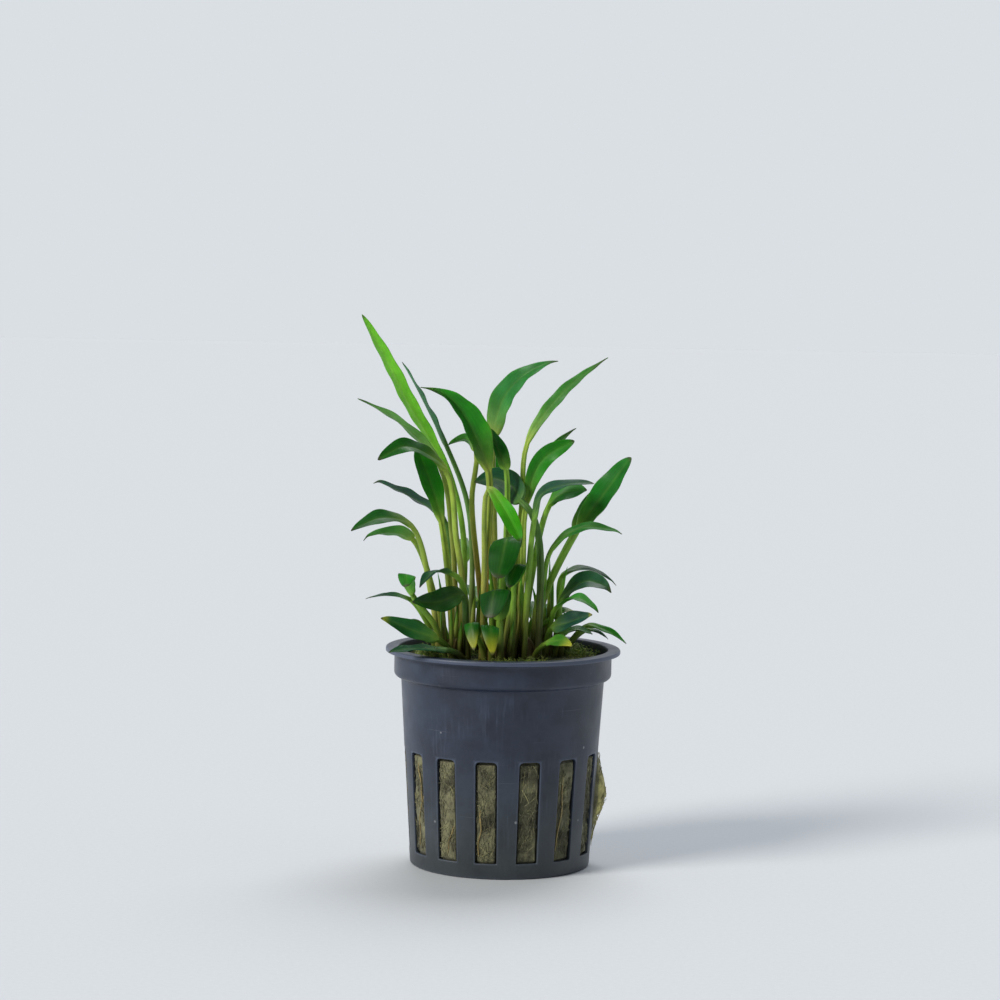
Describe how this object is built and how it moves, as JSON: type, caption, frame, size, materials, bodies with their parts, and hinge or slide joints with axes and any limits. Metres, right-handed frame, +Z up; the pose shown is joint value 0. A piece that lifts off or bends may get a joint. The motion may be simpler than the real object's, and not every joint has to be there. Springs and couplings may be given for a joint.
{
  "type": "potted cryptocoryne willisii aquarium plant",
  "caption": "Small narrow-leaved aquarium plant in arching clumps, rooted in a rock wool plug in a slotted dark grey plastic pot.",
  "frame": {"origin": "middle of the flat underside of the pot", "axes": "+Z up along the pot's axis, -Y towards the side the picture shows, +X to its right"},
  "size_m": [0.0632, 0.0581, 0.126],
  "materials": {
    "pot": "injection moulded polypropylene, satin, lightly scuffed",
    "wool": "damp mineral wool, fibrous, stained green and brown with moss",
    "crown": "short fleshy rootstock with the sheaths of old leaves",
    "leaf_lime": "young lime green leaf, satin, lit through",
    "leaf_fresh": "fresh green leaf, satin with a waxy sheen",
    "leaf_deep": "mature deep green leaf, waxy",
    "leaf_dusk": "older blue green leaf, satin",
    "leaf_pale": "pale underside of a leaf, matte"
  },
  "bodies": {
    "root": {"pot": "pot", "rock_wool": "wool", "crown_left": "crown", "crown_left_back": "crown", "crown_front": "crown", "crown_middle": "crown", "crown_right": "crown", "crown_right_back": "crown", "crown_far_right": "crown", "leaf_front_strap": "leaf_dusk", "leaf_left_arching": "leaf_deep", "leaf_left_inner": "leaf_fresh", "leaf_left_drooping_small": "leaf_pale", "leaf_left_thin_arch": "leaf_dusk", "leaf_left_low_small": "leaf_deep", "leaf_left_drooping": "leaf_deep", "leaf_left_rolled": "leaf_fresh", "leaf_left_low": "leaf_dusk", "leaf_left_rim": "leaf_dusk", "leaf_front_broad": "leaf_deep", "leaf_pale_small": "leaf_pale", "leaf_rear_left_low": "leaf_deep", "leaf_rear_left_arch": "leaf_deep", "leaf_thin_upright": "leaf_dusk", "leaf_tall_spear": "leaf_lime", "leaf_left_dark": "leaf_dusk", "leaf_left_upper_narrow": "leaf_pale", "leaf_centre_folded": "leaf_fresh", "leaf_front_lime": "leaf_lime", "leaf_rim_front_left": "leaf_deep", "leaf_rim_front_right": "leaf_deep", "leaf_front_low": "leaf_deep", "leaf_front_hanging_small": "leaf_deep", "leaf_front_hanging": "leaf_deep", "leaf_centre_inner": "leaf_deep", "leaf_rear_middle": "leaf_deep", "leaf_centre_tall": "leaf_fresh", "leaf_right_low": "leaf_deep", "leaf_right_arching": "leaf_fresh", "leaf_right_tall_narrow": "leaf_pale", "leaf_right_upper": "leaf_fresh", "leaf_right_strap": "leaf_dusk", "leaf_right_yellowing": "leaf_deep", "leaf_centre_shaded": "leaf_dusk", "leaf_rear_right_tall": "leaf_deep", "leaf_rear_right_low": "leaf_deep", "leaf_rear_right_arch": "leaf_deep", "leaf_rear_tall": "leaf_fresh", "leaf_right_upper_behind": "leaf_pale", "leaf_right_short": "leaf_deep", "leaf_right_large": "leaf_deep", "leaf_rim_right_small": "leaf_dusk", "leaf_right_thin": "leaf_dusk", "leaf_right_low_olive": "leaf_deep", "leaf_right_lower_arch": "leaf_fresh", "leaf_right_lowest": "leaf_deep", "leaf_right_middle": "leaf_dusk", "leaf_rim_right": "leaf_fresh"}
  },
  "joints": []
}
